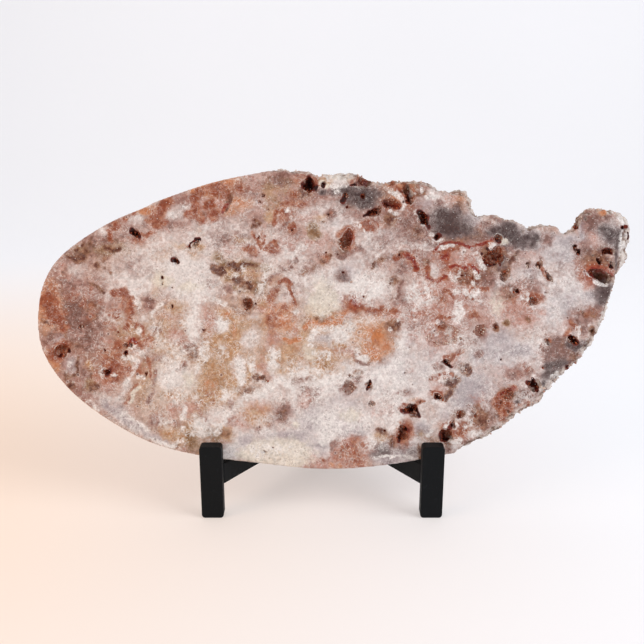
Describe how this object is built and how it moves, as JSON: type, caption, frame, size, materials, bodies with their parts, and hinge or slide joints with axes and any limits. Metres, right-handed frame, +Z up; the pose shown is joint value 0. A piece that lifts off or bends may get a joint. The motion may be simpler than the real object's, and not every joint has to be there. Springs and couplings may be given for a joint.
{
  "type": "pink amethyst slice",
  "caption": "Oval slice of pink amethyst with a polished cut face and a rough natural rind, leaning back on a black wooden easel stand.",
  "frame": {"origin": "centre of the whole object's footprint, on the surface that it stands on", "axes": "+X to the right along the slice's length, +Y from the cut face to the prop leg, +Z up"},
  "size_m": [0.4001, 0.1158, 0.2249],
  "materials": {
    "amethyst": "polished cut face, rough natural rind, pink with rust, grey and white patches",
    "stand_wood": "matte black paint over fine grain"
  },
  "bodies": {
    "root": {"amethyst_slice": "amethyst", "front_post_left": "stand_wood", "front_post_right": "stand_wood", "rail_left": "stand_wood", "rail_right": "stand_wood", "prop_leg": "stand_wood"}
  },
  "joints": []
}
